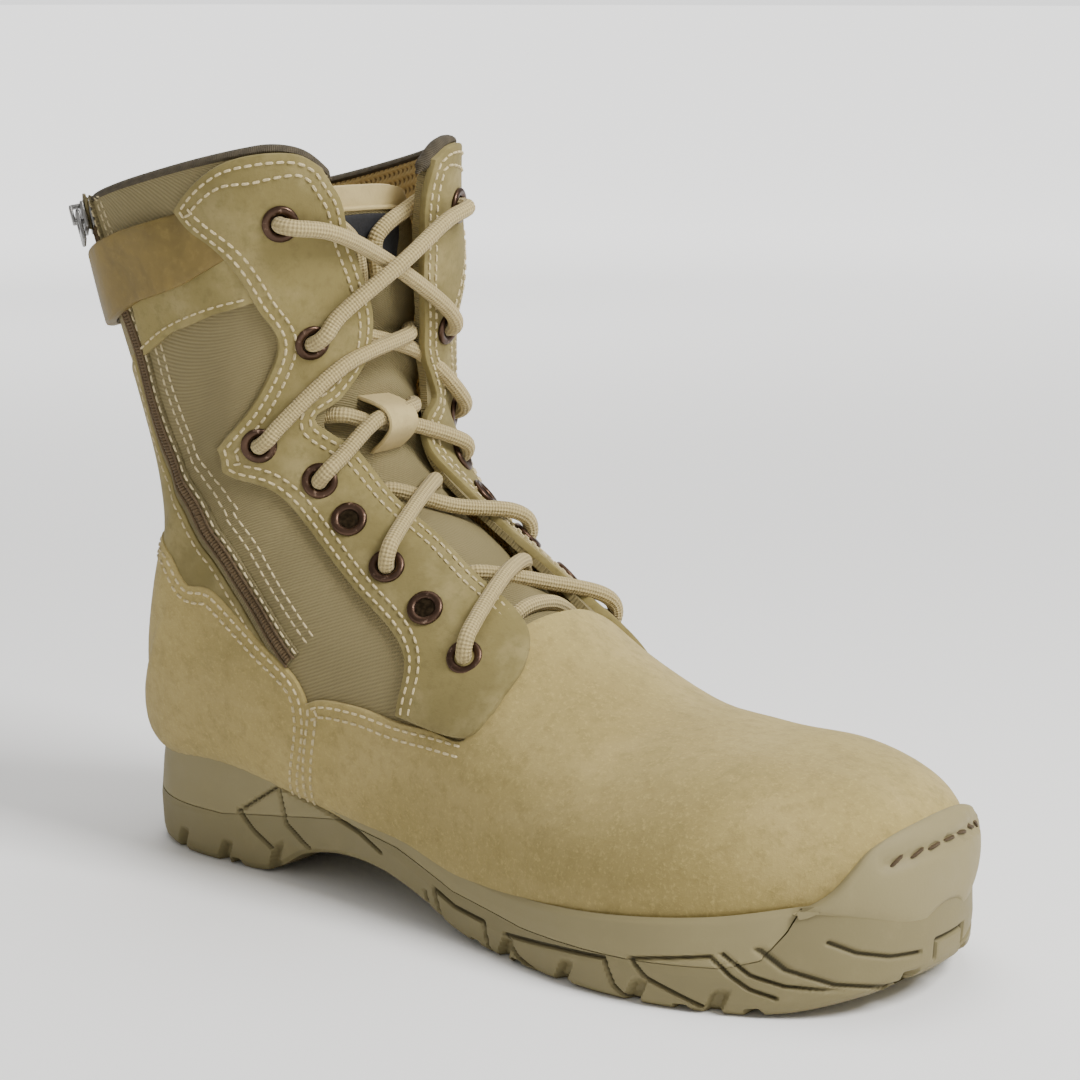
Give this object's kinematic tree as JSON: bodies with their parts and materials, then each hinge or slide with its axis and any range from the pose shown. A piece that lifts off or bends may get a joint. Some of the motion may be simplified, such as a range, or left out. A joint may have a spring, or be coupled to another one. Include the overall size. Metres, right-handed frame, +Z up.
{
  "type": "combat boot",
  "caption": "Lace-up ankle-height combat boot with side zip, closure strap, padded tongue and a lugged rubber sole with toe bumper.",
  "frame": {"origin": "middle of the flat heel tread, on the plane the boot stands on", "axes": "+Z up, -Y from heel to toe, -X the inner (medial) side of this left boot, +X the outer side"},
  "size_m": [0.1266, 0.2847, 0.2223],
  "materials": {
    "outsole": "moulded matt rubber with fine texture",
    "midsole": "smooth moulded band and toe bumper",
    "eyelet": "antique plated",
    "upper": "suede and nubuck panels with woven nylon quarters",
    "zip": "woven tape with coiled teeth",
    "strap": "smooth waxed leather",
    "slider": "plated",
    "tongue": "woven nylon over padding",
    "loop": "folded leather",
    "insole": "brushed fabric over foam",
    "lace": "round braid"
  },
  "bodies": {
    "boot": {"outsole": "outsole", "midsole": "midsole", "eyelet_inner_1": "eyelet", "eyelet_outer_1": "eyelet", "eyelet_inner_2": "eyelet", "eyelet_outer_2": "eyelet", "eyelet_inner_3": "eyelet", "eyelet_outer_3": "eyelet", "eyelet_inner_4": "eyelet", "eyelet_outer_4": "eyelet", "eyelet_inner_5": "eyelet", "eyelet_outer_5": "eyelet", "eyelet_inner_6": "eyelet", "eyelet_outer_6": "eyelet", "eyelet_inner_7": "eyelet", "eyelet_outer_7": "eyelet", "eyelet_inner_8": "eyelet", "eyelet_outer_8": "eyelet", "upper": "upper", "zip_chain": "zip", "strap": "strap", "strap_base": "strap", "zip_slider": "slider", "tongue": "tongue", "tongue_loop": "loop", "insole": "insole", "lace_cross_1": "lace", "lace_cross_2": "lace", "lace_cross_4": "lace", "lace_cross_5": "lace", "lace_cross_3": "lace", "lace_bar": "lace", "lace_tail_inner": "lace", "lace_tail_outer": "lace"},
    "zip_pull": {"zip_pull": "slider"}
  },
  "joints": [
    {"name": "zip_pull_hinge", "type": "hinge", "parent": "boot", "child": "zip_pull", "pos_m": [-0.05417, 0.00842, 0.20006], "axis": [0.5857, 0.708, -0.3946], "range_deg": [0, 150]}
  ]
}
